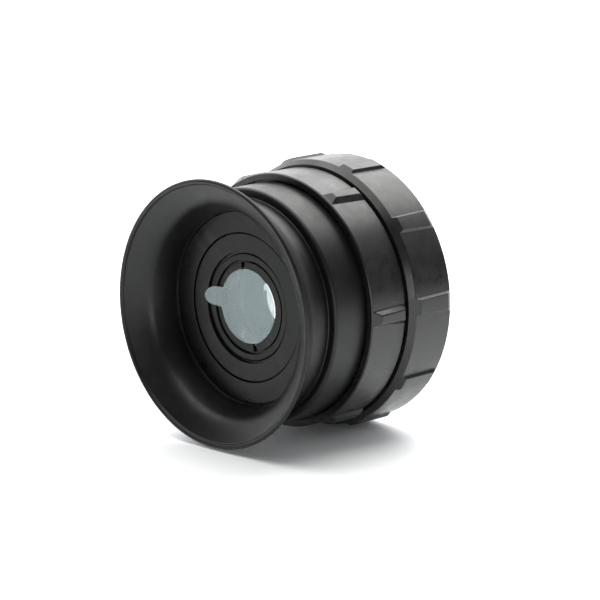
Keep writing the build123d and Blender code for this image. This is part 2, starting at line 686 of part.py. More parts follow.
# ---------------------------------------------------------------- mounting flange and what it holds
with BuildPart() as mount_flange:
    revolve(
        outline(
            (FLANGE_BORE, FLANGE_SPIGOT_FRONT),
            (BARREL_BORE - TOUCH, FLANGE_SPIGOT_FRONT),
            (BARREL_BORE - TOUCH, BARREL_BACK + TOUCH),
            (FLANGE_RADIUS, BARREL_BACK + TOUCH),
            (FLANGE_RADIUS, SEAT_DEPTH - EDGE_BREAK),
            (FLANGE_RADIUS - EDGE_BREAK, SEAT_DEPTH),
            (WINDOW_RADIUS + FIT, SEAT_DEPTH),
            (WINDOW_RADIUS + FIT, WINDOW_SEAT),
            (FLANGE_BORE, WINDOW_SEAT),
        ),
        axis=Axis.Y,
    )
    gasket_groove = band(
        GASKET_CIRCLE - GASKET_SECTION - FIT,
        GASKET_CIRCLE + GASKET_SECTION + FIT,
        SEAT_DEPTH - 2 * GASKET_SECTION - FIT,
        SEAT_DEPTH,
    )
    revolve(gasket_groove, axis=Axis.Y, mode=Mode.SUBTRACT)
    with Locations(across(SEAT_DEPTH)):
        with PolarLocations(SCREW_CIRCLE, SCREW_COUNT, start_angle=FIRST_SCREW_ANGLE):
            CounterSinkHole(
                radius=SCREW_RADIUS + TOUCH,
                counter_sink_radius=SCREW_HEAD_RADIUS + FIT,
                depth=SEAT_DEPTH - BARREL_BACK,
                counter_sink_angle=SCREW_HEAD_ANGLE,
            )
        with Locations((0, -SCREW_CIRCLE)):
            Hole(radius=INDEX_RADIUS, depth=INDEX_LENGTH)
save(mount_flange.part, "mount_flange")

with BuildPart() as flange_screws:
    with BuildSketch(across(SCREW_TIP)):
        with PolarLocations(SCREW_CIRCLE, SCREW_COUNT, start_angle=FIRST_SCREW_ANGLE):
            Circle(SCREW_RADIUS)
    extrude(amount=SCREW_HEAD_FACE - SCREW_TIP)
    with BuildSketch(across(SCREW_HEAD_FACE)):
        with PolarLocations(SCREW_CIRCLE, SCREW_COUNT, start_angle=FIRST_SCREW_ANGLE):
            Circle(SCREW_HEAD_RADIUS)
    extrude(amount=SCREW_RADIUS - SCREW_HEAD_RADIUS, taper=SCREW_HEAD_ANGLE / 2)
    with BuildSketch(across(SCREW_HEAD_FACE)):
        with PolarLocations(SCREW_CIRCLE, SCREW_COUNT, start_angle=FIRST_SCREW_ANGLE):
            RegularPolygon(SCREW_SOCKET, 6)
    extrude(amount=-SCREW_SOCKET, mode=Mode.SUBTRACT)
save(flange_screws.part, "flange_screws")

with BuildPart() as seat_gasket:
    revolve(o_ring(GASKET_CIRCLE, GASKET_SECTION, SEAT_DEPTH - GASKET_SECTION - TOUCH), axis=Axis.Y)
save(seat_gasket.part, "seat_gasket")

with BuildPart() as rear_window:
    with BuildSketch(across(WINDOW_SEAT + TOUCH)):
        Circle(WINDOW_RADIUS)
    extrude(amount=WINDOW_THICKNESS)
    chamfer(rear_window.edges().filter_by(GeomType.CIRCLE), length=WINDOW_BEVEL)
save(rear_window.part, "rear_window")

with BuildPart() as window_retainer:
    window_back = WINDOW_SEAT + WINDOW_THICKNESS + 2 * TOUCH
    revolve(
        band(WINDOW_OPENING, WINDOW_RADIUS, window_back, SEAT_DEPTH - 2 * TOUCH),
        axis=Axis.Y,
    )
    window_bars = spanner_slots(WINDOW_RADIUS, SEAT_DEPTH - SLOT_DEPTH / 2, SLOT_DEPTH, 0)
    add(window_bars, mode=Mode.SUBTRACT)
save(window_retainer.part, "window_retainer")

# ---------------------------------------------------------------- coupling ring
with BuildPart() as coupling_ring:
    revolve(
        outline(
            (JOURNAL_RADIUS + FIT, COUPLING_FRONT),
            (COUPLING_NOSE_RADIUS, COUPLING_FRONT),
            (COUPLING_RADIUS, COUPLING_CHAMFER_BACK),
            (COUPLING_RADIUS, TOTAL_DEPTH - COUPLING_REAR_CHAMFER),
            (COUPLING_RADIUS - COUPLING_REAR_CHAMFER, TOTAL_DEPTH),
            (THREAD_RADIUS + MOUTH_CHAMFER, TOTAL_DEPTH),
            (THREAD_RADIUS, TOTAL_DEPTH - MOUTH_CHAMFER),
            (THREAD_RADIUS, SEAT_DEPTH),
            (RELIEF_RADIUS, SEAT_DEPTH),
            (RELIEF_RADIUS, COUPLING_LIP_BACK),
            (JOURNAL_RADIUS + FIT, COUPLING_LIP_BACK),
        ),
        axis=Axis.Y,
    )
    chamfer_rise = COUPLING_RADIUS - COUPLING_NOSE_RADIUS
    chamfer_run = COUPLING_CHAMFER_BACK - COUPLING_FRONT
    lug_rise = COUPLING_LUG_TOP - COUPLING_NOSE_RADIUS
    coupling_envelope = outline(
        (COUPLING_NOSE_RADIUS, COUPLING_FRONT),
        (COUPLING_LUG_TOP, COUPLING_FRONT + lug_rise * chamfer_run / chamfer_rise),
        (COUPLING_LUG_TOP, COUPLING_LUG_TOP_BACK),
        (COUPLING_RADIUS, COUPLING_LUG_BACK),
        (COUPLING_NOSE_RADIUS, COUPLING_LUG_BACK),
    )
    add(
        lugs(
            COUPLING_LUGS,
            COUPLING_LUG_PHASE,
            coupling_envelope,
            COUPLING_FRONT,
            COUPLING_LUG_FLARE,
            COUPLING_RADIUS,
            COUPLING_LUG_TOP,
            COUPLING_LUG_BASE_HALF,
            COUPLING_LUG_TOP_HALF,
        )
    )
save(coupling_ring.part, "coupling_ring")

with BuildPart() as coupling_washer:
    revolve(
        band(
            JOURNAL_RADIUS + WASHER_GAP,
            FLANGE_RADIUS,
            COUPLING_LIP_BACK + FIT,
            BARREL_BACK - FIT,
        ),
        axis=Axis.Y,
    )
save(coupling_washer.part, "coupling_washer")
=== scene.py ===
import json
import math

import bpy
import numpy as np
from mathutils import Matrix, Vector


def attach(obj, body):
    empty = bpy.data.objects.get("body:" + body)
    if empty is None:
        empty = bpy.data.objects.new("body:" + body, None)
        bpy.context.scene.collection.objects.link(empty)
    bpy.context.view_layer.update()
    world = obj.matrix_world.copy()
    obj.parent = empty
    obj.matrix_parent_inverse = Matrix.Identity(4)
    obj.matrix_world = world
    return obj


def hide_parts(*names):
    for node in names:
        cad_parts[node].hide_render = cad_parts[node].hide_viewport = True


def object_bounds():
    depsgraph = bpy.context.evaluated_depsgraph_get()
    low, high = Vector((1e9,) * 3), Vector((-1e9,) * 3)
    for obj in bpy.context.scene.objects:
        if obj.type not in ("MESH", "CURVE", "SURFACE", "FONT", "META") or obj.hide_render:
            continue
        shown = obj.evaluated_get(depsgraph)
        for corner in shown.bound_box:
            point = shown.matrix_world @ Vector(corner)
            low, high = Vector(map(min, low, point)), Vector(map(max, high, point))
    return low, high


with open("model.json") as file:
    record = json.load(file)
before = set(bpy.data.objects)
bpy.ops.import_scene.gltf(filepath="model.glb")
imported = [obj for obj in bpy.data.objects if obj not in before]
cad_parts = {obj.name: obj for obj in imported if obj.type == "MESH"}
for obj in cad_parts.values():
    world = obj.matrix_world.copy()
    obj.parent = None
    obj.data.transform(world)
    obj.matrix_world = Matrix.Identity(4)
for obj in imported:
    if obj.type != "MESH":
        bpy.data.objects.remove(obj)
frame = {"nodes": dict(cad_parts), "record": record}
cad_low, cad_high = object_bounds()

MM = 0.001
TURN = 2 * math.pi

# ---------------------------------------------------------------- dimensions
# Millimetres.  Radii are from the optical axis and depths are behind the eyecup's rim.
SEAT = 37.5                  # depth of the seat plane, which is the origin of the row frame
TOUCH = 0.02                 # clearance between pieces that are clamped together
FIT = 0.05                   # radial clearance of running fits

# rubber eyecup
RIM, RIM_ROUND = 29.2, 0.6
RIM_SLOPE = 0.52             # depth per radius where the funnel leaves the rim
WAIST = (22.65, 4.7)         # point on the funnel's curve, and radius per depth there
WAIST_SLOPE = 0.48
ROOT_RADIUS, ROOT_DEPTH = 21.0, 10.3
ROOT_SLOPE = 0.02            # radius per depth where the funnel meets the bevel
BEVEL, BEVEL_DEPTH = 0.25, 0.5
LIP_BACK = 11.0
FLARE_SLOPE = 0.5            # depth per radius where the outer flare meets the rim
NECK_RADIUS, NECK_DEPTH = 23.85, 8.6
SHOULDER_DEPTH = 11.8
SLEEVE_RADIUS, SLEEVE_ROUND, SLEEVE_BACK, SLEEVE_DRAFT = 25.85, 0.9, 21.5, 0.1
CUP_BORE, BARREL_FRONT = 24.02, 13.0

# front faces
RETAINER_FACE, RETAINER_BACK = 10.5, 14.4
RETAINER_INNER, RETAINER_RIM, RETAINER_BORE = 16.4, 21.8, 20.5
RETAINER_SKIRT = 18.0
LEDGE_RADIUS, LEDGE_BACK = 14.0, 13.2
PLATE_FACE, PLATE_BACK, PLATE_BORE = 10.75, 12.3, 12.2
PLATE_EDGE = RETAINER_INNER - 0.15           # the seam round the plate shows as a dark line
PLATE_RIM_FRONT = 11.5
PLATE_BREAK = ((0.28, 0.0), (0.25, 0.0), (0.17, 0.01), (0.03, 0.12), (0.0, 0.23))   # inset, drop
SEAL_FRONT, SEAL_BACK, SEAL_RADIUS = 11.45, 12.0, 12.7
SEAL_BODY, SEAL_LIP_BEVEL = 11.95, 0.1       # the lip reaches in from the body to the cell's nose

# sliding cell
NOSE_RADIUS, NOSE_FACE = 11.7, 11.3
MOUTH_RADIUS, MOUTH_BACK = 10.3, 12.0        # counterbore: the groove round the eye retainer
CELL_RADIUS, CELL_SHOULDER, CELL_BACK = 21.45, 16.5, 30.6
CELL_WAIST, CELL_WAIST_FRONT, CELL_WAIST_BACK = 20.9, 18.5, 23.6
EYE_BORE, EYE_BORE_BACK, EYE_SEAT_RADIUS = 9.8, 13.2, 9.4
WEB_RADIUS, WEB_FRONT, WEB_BACK = 8.6, 14.56, 18.15
DOUBLET_BORE, DOUBLET_RADIUS = 12.02, 12.0
FIELD_SEAT, FIELD_SEAT_RADIUS = 25.2, 14.0
FIELD_BORE, FIELD_BORE_FRONT = 14.6, 28.5
EYE_OPENING, EYE_RETAINER_FACE, EYE_RETAINER_BACK = 8.0, 11.5, 13.1
EYE_LIP_BACK, EYE_SKIRT_FRONT = 11.83, 11.97
FIELD_OPENING, FIELD_RETAINER_FRONT, FIELD_RETAINER_BACK = 8.2, 28.62, 30.2
FIELD_LIP_RADIUS, FIELD_LIP_FRONT = 12.9, 28.95
SLOT_WIDTH, SLOT_DEPTH = 1.1, 0.8            # spanner slots
EYE_SLOT_ANGLE = math.radians(101.5)         # from +X towards +Z

# lenses: radius, front, back, sag of each face
EYE_LENS = (9.35, 11.55, 14.8, 0.45, 0.35)
CROWN = (DOUBLET_RADIUS, 17.93, 22.7, 0.5, 0.8)
FLINT = (DOUBLET_RADIUS, 22.72, 24.9, -0.8, 0.6)
FIELD_LENS = (13.95, 25.4, 29.0, 1.0, 0.5)
WINDOW_RADIUS, WINDOW_SEAT, WINDOW_THICKNESS, WINDOW_BEVEL = 18.4, 35.0, 1.5, 0.2

# protective film
FILM_R, FILM_X, FILM_Z = 8.15, -0.3, 0.11
FILM_FRONT, FILM_BACK = 11.34, 11.45
TAB_HALF, TAB_REACH, TAB_BEND, TAB_LIFT = 2.15, 11.7, 7.6, 1.9
TAB_WAY = math.radians(173.4)                # from +X towards +Z

# dioptre ring
DIOPTRE_R, DIOPTRE_TOP, DIOPTRE_FRONT, DIOPTRE_BACK = 27.85, 28.85, 20.85, 31.1
DIOPTRE_BORE, DIOPTRE_MOUTH, DIOPTRE_MOUTH_BACK = 24.55, 26.35, 22.4
DIOPTRE_THRUST_RADIUS, DIOPTRE_THRUST_FACE = 26.75, 29.75
DIOPTRE_LUG_FRONT, DIOPTRE_LUG_BACK = 21.3, 30.95
DIOPTRE_TOP_FRONT, DIOPTRE_TOP_BACK = 22.8, 30.0
DIOPTRE_LUG_HALF, DIOPTRE_TOP_HALF = 1.7, 0.75
DIOPTRE_WIDENING = 0.0373                    # growth of a lug's half width per depth
DIOPTRE_LUGS, DIOPTRE_PHASE = 6, 0.0
EDGE_BREAK = 0.25
NEAR = 0.05                                  # spacing of the doubled points on flat end faces
SKIN_INSET = 0.01                            # the turned skins stop just short of the end faces

# coupling ring
COUPLING_R, COUPLING_TOP, COUPLING_FRONT, COUPLING_BACK = 29.4, 30.05, 31.47, 44.0
COUPLING_NOSE, COUPLING_CHAMFER_BACK = 28.38, 32.73
COUPLING_REAR_CHAMFER = 0.6
COUPLING_LUG_BACK, COUPLING_TOP_BACK = 43.2, 42.3
COUPLING_LUG_HALF, COUPLING_TOP_HALF = 1.92, 1.52
COUPLING_WIDENING = 0.0256
COUPLING_LUGS, COUPLING_PHASE = 10, math.radians(2.2)
JOURNAL_BORE, JOURNAL_BACK = 24.05, 33.5
THREAD_RADIUS, RELIEF_RADIUS, THREAD_MOUTH = 26.0, 26.4, 0.8
PITCH, THREAD_START, THREAD_END, THREAD_HEIGHT = 0.75, 38.0, 43.35, 0.42
THREAD_ROOT_HALF, THREAD_CREST_HALF, THREAD_SINK = 0.36, 0.06, 0.08

# mounting flange
FLANGE_RADIUS, FLANGE_BORE, FLANGE_FRONT = 25.4, 17.0, 32.6
SPIGOT_RADIUS, FLANGE_FACE = 21.48, 34.02
GASKET_CIRCLE, GASKET_ROUND, GASKET_DEPTH = 20.2, 0.5, 36.98
GROOVE_INNER, GROOVE_OUTER, GROOVE_FLOOR = 19.65, 20.75, 36.45
WINDOW_POCKET = 18.45
SCREW_CIRCLE, SCREW_COUNT = 22.75, 4
FIRST_SCREW = math.radians(45)
WINDOW_RING_FRONT, WINDOW_RING_BACK = 36.54, 37.46

# ---------------------------------------------------------------- meshes


def place(radius, angle, depth):
    """Row-frame point of a radius, an angle from +X towards +Z and a depth behind the rim, in mm."""
    return (radius * math.cos(angle) * MM, (depth - SEAT) * MM, radius * math.sin(angle) * MM)


def hermite(start, end, start_way, end_way, steps):
    """Points of a cubic between two points, its end tangents as long as the chord."""
    start, end = np.array(start, float), np.array(end, float)
    chord = np.linalg.norm(end - start)
    a = np.array(start_way, float)
    b = np.array(end_way, float)
    a, b = a / np.linalg.norm(a) * chord, b / np.linalg.norm(b) * chord
    points = []
    for u in np.linspace(0, 1, steps):
        points.append(
            (2 * u**3 - 3 * u**2 + 1) * start
            + (u**3 - 2 * u**2 + u) * a
            + (3 * u**2 - 2 * u**3) * end
            + (u**3 - u**2) * b
        )
    return [(float(p[0]), float(p[1]), 0.0) for p in points]


def rounded(corners, steps=4):
    """Section points and outward normals of a closed outline of (radius, depth, round) corners.
    A corner with a round of 0 is a point of a smooth curve."""
    straight = 0.02              # bends below this many radians need no round
    most = 0.48                  # share of a side that a round may take
    pts = [np.array(c[:2], float) for c in corners]
    n = len(pts)
    area = sum(pts[i][0] * pts[(i + 1) % n][1] - pts[(i + 1) % n][0] * pts[i][1] for i in range(n))
    side = 1.0 if area > 0 else -1.0
    out = []
    for i, p in enumerate(pts):
        a, b = p - pts[i - 1], pts[(i + 1) % n] - p
        la, lb = np.linalg.norm(a), np.linalg.norm(b)
        a, b = a / la, b / lb
        na, nb = side * np.array([a[1], -a[0]]), side * np.array([b[1], -b[0]])
        bend = math.acos(max(-1.0, min(1.0, float(a @ b))))
        r = corners[i][2]
        if r <= 0 or bend < straight:
            m = na + nb
            out.append((p, m / np.linalg.norm(m)))
            continue
        cut = min(r * math.tan(bend / 2), most * la, most * lb)
        p0, p1 = p - a * cut, p + b * cut
        for k in range(steps + 1):
            u = k / steps
            q = (1 - u) ** 2 * p0 + 2 * u * (1 - u) * p + u**2 * p1
            m = na * (1 - u) + nb * u
            out.append((q, m / np.linalg.norm(m)))
    return out


def build(name, points, faces, normals=None):
    """Closed mesh object from points, faces and, if given, a normal at each point."""
    co = np.array(points, float)
    volume = 0.0
    for face in faces:
        for i in range(1, len(face) - 1):
            volume += co[face[0]] @ np.cross(co[face[i]], co[face[i + 1]])
    if volume < 0:
        faces = [tuple(reversed(face)) for face in faces]
    mesh = bpy.data.meshes.new(name)
    mesh.from_pydata(points, [], faces)
    mesh.update()
    mesh.polygons.foreach_set("use_smooth", [True] * len(mesh.polygons))
    if normals is not None:
        mesh.normals_split_custom_set_from_vertices(normals)
    obj = bpy.data.objects.new(name, mesh)
    bpy.context.scene.collection.objects.link(obj)
    return obj


def lathe(name, corners, segments=192, steps=4):
    """Piece turned about the axis from a closed outline of (radius, depth, round) corners."""
    section = rounded(corners, steps)
    on_axis = 1e-4
    points, normals, index = [], [], []
    for p, n in section:
        if p[0] < on_axis:
            index.append([len(points)] * segments)
            points.append(place(0, 0, p[1]))
            normals.append((0, math.copysign(1, n[1]), 0))
            continue
        row = []
        for k in range(segments):
            t = TURN * k / segments
            row.append(len(points))
            points.append(place(p[0], t, p[1]))
            normals.append((n[0] * math.cos(t), n[1], n[0] * math.sin(t)))
        index.append(row)
    faces = []
    for i in range(len(index)):
        a, b = index[i], index[(i + 1) % len(index)]
        for k in range(segments):
            q = (k + 1) % segments
            face = []
            for v in (a[k], a[q], b[q], b[k]):
                if v not in face:
                    face.append(v)
            if len(face) > 2:
                faces.append(face)
    return build(name, points, faces, normals)


def soft_step(x):
    """0 below 0, 1 above 1, smooth between."""
    x = min(1.0, max(0.0, x))
    return x * x * (3 - 2 * x)


def soft_min(values, k):
    """Smallest of the values, blended over a width k."""
    low = values[0]
    for v in values[1:]:
        h = max(k - abs(low - v), 0.0) / k
        low = min(low, v) - h * h * k / 4
    return low


def soft_floor(x, k):
    """x above 0, blended into 0 over a width k."""
    h = max(k - abs(x), 0.0) / k
    return max(x, 0.0) + h * h * k / 4


def lugged(name, corners, outer, skin, depths, phase, count, half, plain, step=0.075):
    """A turned ring whose outer surface carries lugs.  corners are the rest of the section from the
    outer surface's last depth round to its first; skin(depth, offset) is the outer radius at a
    depth and at a distance across the nearest lug, in mm."""
    half_pitch = TURN / count / 2
    reach = half / outer
    fine = int(math.ceil(2 * half / step))
    turns = []
    for k in range(count):
        centre = phase + k * 2 * half_pitch
        turns += [centre + reach * (2 * i / fine - 1) for i in range(fine + 1)]
        gap = 2 * half_pitch - 2 * reach
        turns += [centre + reach + gap * i / plain for i in range(1, plain)]
    rest = rounded(corners, 4)
    points, normals, columns = [], [], []
    tiny = 1e-3
    for t in turns:
        off = (t - phase + half_pitch) % (2 * half_pitch) - half_pitch
        column = []
        for s in depths:
            u = off * outer
            r = skin(s, u)
            ds = (skin(s + tiny, u) - skin(s - tiny, u)) / (2 * tiny)
            du = (skin(s, u + tiny) - skin(s, u - tiny)) / (2 * tiny)
            n = np.array([1.0, -ds, -du])
            n /= np.linalg.norm(n)
            column.append(len(points))
            points.append(place(r, t, s))
            across = (-math.sin(t), 0.0, math.cos(t))
            normals.append((
                n[0] * math.cos(t) + n[2] * across[0],
                n[1],
                n[0] * math.sin(t) + n[2] * across[2],
            ))
        for p, m in rest:
            column.append(len(points))
            points.append(place(p[0], t, p[1]))
            normals.append((m[0] * math.cos(t), m[1], m[0] * math.sin(t)))
        columns.append(column)
    faces = []
    for a, b in zip(columns, columns[1:] + columns[:1]):
        for i in range(len(a)):
            q = (i + 1) % len(a)
            faces.append((a[i], b[i], b[q], a[q]))
    return build(name, points, faces, normals)


def cut(obj, cutter):
    """Subtracts a closed mesh, shades by angle and weights the normals."""
    modifier = obj.modifiers.new("cut", "BOOLEAN")
    modifier.operation = "DIFFERENCE"
    modifier.solver = "EXACT"
    modifier.object = cutter
    made = bpy.data.meshes.new_from_object(
        obj.evaluated_get(bpy.context.evaluated_depsgraph_get())
    )
    obj.modifiers.clear()
    obj.data = made
    bpy.data.objects.remove(cutter)
    made.polygons.foreach_set("use_smooth", [True] * len(made.polygons))
    made.set_sharp_from_angle(angle=math.radians(28))
    weighted = obj.modifiers.new("weighted", "WEIGHTED_NORMAL")
    weighted.keep_sharp = True
    return obj


def joined(name, parts):
    """One object from several."""
    for o in bpy.context.selected_objects:
        o.select_set(False)
    for o in parts:
        o.select_set(True)
    bpy.context.view_layer.objects.active = parts[0]
    bpy.ops.object.join()
    parts[0].name = name
    parts[0].data.name = name
    return parts[0]


def turned_cutter(name, rows, at, angle, segments=32):
    """Closed turned cutter of (radius, depth) rows about a line parallel to the axis."""
    cx, cz = at * math.cos(angle), at * math.sin(angle)
    points, faces = [], []
    for r, s in rows:
        for k in range(segments):
            t = TURN * k / segments
            points.append(((cx + r * math.cos(t)) * MM, (s - SEAT) * MM, (cz + r * math.sin(t)) * MM))
    for i in range(len(rows) - 1):
        for k in range(segments):
            q = (k + 1) % segments
            a, b = i * segments, (i + 1) * segments
            faces.append((a + k, a + q, b + q, b + k))
    faces.append(tuple(range(segments)))
    faces.append(tuple(range((len(rows) - 1) * segments, len(rows) * segments))[::-1])
    return build(name, points, faces)


def bar_cutter(name, radius, width, front, back, angle):
    """Box across the axis that cuts two opposite slots."""
    c, s = math.cos(angle), math.sin(angle)
    points = []
    for y in (front, back):
        for a, b in ((-1, -1), (1, -1), (1, 1), (-1, 1)):
            x, z = a * radius, b * width / 2
            points.append(((x * c - z * s) * MM, (y - SEAT) * MM, (x * s + z * c) * MM))
    faces = [(0, 1, 2, 3), (7, 6, 5, 4), (0, 4, 5, 1), (1, 5, 6, 2), (2, 6, 7, 3), (3, 7, 4, 0)]
    return build(name, points, faces)


# ---------------------------------------------------------------- materials


class Nodes:
    """Small helper that wires shader nodes in one material."""

    def __init__(self, name):
        self.material = bpy.data.materials.new(name)
        self.material.use_nodes = True
        self.tree = self.material.node_tree
        self.tree.nodes.clear()

    def add(self, kind, inputs=None, **settings):
        node = self.tree.nodes.new(kind)
        for key, value in settings.items():
            setattr(node, key, value)
        for key, value in (inputs or {}).items():
            if hasattr(value, "is_linked"):
                self.tree.links.new(value, node.inputs[key])
            else:
                node.inputs[key].default_value = value
        return node

    def math(self, operation, a, b=0.0, c=0.0, clamp=False):
        node = self.add("ShaderNodeMath", {0: a, 1: b, 2: c}, operation=operation, use_clamp=clamp)
        return node.outputs[0]

    def noise(self, vector, scale, detail=3.0, roughness=0.55):
        inputs = {"Vector": vector, "Scale": scale, "Detail": detail, "Roughness": roughness}
        return self.add("ShaderNodeTexNoise", inputs).outputs[0]

    def span(self, value, low, high, to_low, to_high):
        inputs = {"Value": value, 1: low, 2: high, 3: to_low, 4: to_high}
        return self.add("ShaderNodeMapRange", inputs, clamp=True).outputs[0]

    def mix(self, factor, a, b):
        node = self.add("ShaderNodeMix", data_type="RGBA")
        for socket, value in ((node.inputs[0], factor), (node.inputs[6], a), (node.inputs[7], b)):
            if hasattr(value, "is_linked"):
                self.tree.links.new(value, socket)
            else:
                socket.default_value = value
        return node.outputs[2]

    def output(self, shader):
        self.add("ShaderNodeOutputMaterial", {"Surface": shader})
        return self.material


def grey(value, blue=1.0):
    return (value, value, value * blue, 1.0)


def surface(
    name,
    base,
    rough,
    grain,
    grain_height,
    rough_spread=0.06,
    metal=0.0,
    turned=0.0,
    wear=0.0,
    wear_colour=0.25,
    blotch=0.15,
    specular=0.5,
    blue=1.03,
):
    """Opaque finish: a base grey with soft blotches, a fine grain, turning marks round the axis,
    faint dust and lighter worn edges.  grain and the other noise scales are per metre, heights are
    in metres."""
    n = Nodes(name)
    spot = n.add("ShaderNodeTexCoord").outputs["Object"]
    split = n.add("ShaderNodeSeparateXYZ", {0: spot})
    radius = n.math("SQRT", n.math("ADD", n.math("MULTIPLY", split.outputs[0], split.outputs[0]),
                                   n.math("MULTIPLY", split.outputs[2], split.outputs[2])))
    ring = n.add("ShaderNodeCombineXYZ", {0: radius, 1: split.outputs[1], 2: 0.0}).outputs[0]
    fine = n.noise(spot, grain, 4.0, 0.65)
    cloud = n.noise(spot, 110.0, 4.0, 0.6)
    patch = n.noise(spot, 420.0, 5.0, 0.6)
    speck = n.noise(spot, 2600.0, 2.0, 0.5)
    marks = n.noise(ring, 5200.0, 3.0, 0.7)
    tone = n.span(cloud, 0.3, 0.7, 1.0 - blotch, 1.0 + blotch)
    tone = n.math("MULTIPLY", tone, n.span(fine, 0.3, 0.7, 0.93, 1.07))
    lit = n.add("ShaderNodeVectorMath", {0: grey(base, blue)[:3], "Scale": tone},
                operation="SCALE").outputs[0]
    dust = n.math("MULTIPLY", n.span(speck, 0.45, 0.75, 0.0, 1.0), n.span(patch, 0.45, 0.65, 0.0, 0.006))
    lit = n.mix(dust, lit, grey(0.22))
    edge = n.add("ShaderNodeNewGeometry").outputs["Pointiness"]
    worn = n.math("MULTIPLY", n.span(edge, 0.515, 0.60, 0.0, wear), n.span(patch, 0.35, 0.6, 0.4, 1.0))
    lit = n.mix(worn, lit, grey(wear_colour))
    roughness = n.span(patch, 0.3, 0.7, rough - rough_spread, rough + rough_spread)
    roughness = n.math("ADD", roughness, n.span(speck, 0.35, 0.65, -0.02, 0.02))
    height = n.math("MULTIPLY", fine, grain_height)
    height = n.math("ADD", height, n.math("MULTIPLY", marks, turned))
    bump = n.add("ShaderNodeBump", {"Height": height, "Strength": 1.0, "Distance": 1.0})
    shader = n.add("ShaderNodeBsdfPrincipled", {
        "Base Color": lit,
        "Roughness": roughness,
        "Metallic": metal,
        "Specular IOR Level": specular,
        "Normal": bump.outputs[0],
    })
    return n.output(shader.outputs[0])


def glass(name, tint, coat):
    """Coated optical glass with faint dust and cleaning marks."""
    n = Nodes(name)
    spot = n.add("ShaderNodeTexCoord").outputs["Object"]
    smear = n.noise(spot, 260.0, 5.0, 0.7)
    speck = n.noise(spot, 3800.0, 2.0, 0.5)
    rough = n.span(smear, 0.45, 0.75, 0.0, 0.05)
    dust = n.span(speck, 0.70, 0.86, 0.0, 0.04)
    wave = n.add("ShaderNodeBump", {"Height": n.math("MULTIPLY", smear, 1e-6), "Distance": 1.0})
    lens = n.add("ShaderNodeBsdfPrincipled", {
        "Base Color": tint,
        "Roughness": rough,
        "Transmission Weight": 1.0,
        "IOR": 1.52,
        "Specular Tint": coat,
        "Normal": wave.outputs[0],
    })
    dirt = n.add("ShaderNodeBsdfDiffuse", {"Color": grey(0.6)})
    mixed = n.add("ShaderNodeMixShader", {0: dust, 1: lens.outputs[0], 2: dirt.outputs[0]})
    return n.output(mixed.outputs[0])


def film(name):
    """Milky protective film: partly clear, partly scattering, with fine creases."""
    n = Nodes(name)
    spot = n.add("ShaderNodeTexCoord").outputs["Object"]
    crease = n.noise(spot, 150.0, 1.0, 0.5)
    haze = n.noise(spot, 420.0, 2.0, 0.5)
    bump = n.add("ShaderNodeBump", {"Height": n.math("MULTIPLY", crease, 5e-5), "Distance": 1.0})
    milk = n.add("ShaderNodeBsdfPrincipled", {
        "Base Color": n.mix(n.span(haze, 0.3, 0.7, 0.0, 1.0),
                            (0.49, 0.56, 0.58, 1), (0.51, 0.58, 0.60, 1)),
        "Roughness": n.span(haze, 0.3, 0.7, 0.30, 0.36),
        "Normal": bump.outputs[0],
    })
    clear = n.add("ShaderNodeBsdfTransparent", {"Color": (0.88, 0.94, 0.94, 1)})
    share = n.span(haze, 0.3, 0.7, 0.325, 0.345)
    mixed = n.add("ShaderNodeMixShader", {0: share, 1: clear.outputs[0], 2: milk.outputs[0]})
    return n.output(mixed.outputs[0])


RINGS = surface("anodised_rings", 0.0045, 0.32, 6500.0, 4e-6, turned=5e-6, wear=0.25, wear_colour=0.06)
BODY = surface("anodised_body", 0.0045, 0.42, 6500.0, 4e-6, turned=6e-6, wear=0.25, wear_colour=0.06)
FRONT = surface("moulded_front", 0.003, 0.32, 5200.0, 4e-6, wear=0.15, wear_colour=0.05, specular=0.21)
CELL = surface("blackened_cell", 0.004, 0.40, 6000.0, 4e-6, turned=6e-6, wear=0.2, wear_colour=0.06,
               specular=0.24)
RUBBER = surface("eyecup_rubber", 0.003, 0.38, 4200.0, 1.2e-5, specular=0.36, wear=0.12,
                 wear_colour=0.03, blotch=0.2)
SEAL = surface("seal_rubber", 0.002, 0.36, 5200.0, 6e-6, blotch=0.2, specular=0.3)
STEEL = surface("steel", 0.55, 0.28, 5000.0, 3e-6, metal=1.0, turned=4e-6, wear=0.2, wear_colour=0.7,
                blotch=0.06)
SLIP = surface("slip_plastic", 0.62, 0.5, 3800.0, 6e-6, blotch=0.08, blue=0.96)
GLASS = glass("optical_glass", (0.985, 0.995, 0.99, 1), (0.75, 0.95, 0.85, 1))
FILM = film("film")
FINISH = {
    "anodised_rings": RINGS,
    "anodised_body": BODY,
    "moulded_front": FRONT,
    "blackened_cell": CELL,
    "eyecup_rubber": RUBBER,
    "seal_rubber": SEAL,
    "steel": STEEL,
    "slip_plastic": SLIP,
    "optical_glass": GLASS,
    "film": FILM,
}
SLOT_OF = {}
for part in frame["record"]["subparts"]:
    SLOT_OF[part["node"]] = part["material_slot"]


def finished(obj, slot, body, *nodes):
    """Gives a piece its finish and its place in the object."""
    obj.data.materials.clear()
    obj.data.materials.append(FINISH[slot])
    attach(obj, body)
    if nodes:
        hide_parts(*nodes)
    return obj


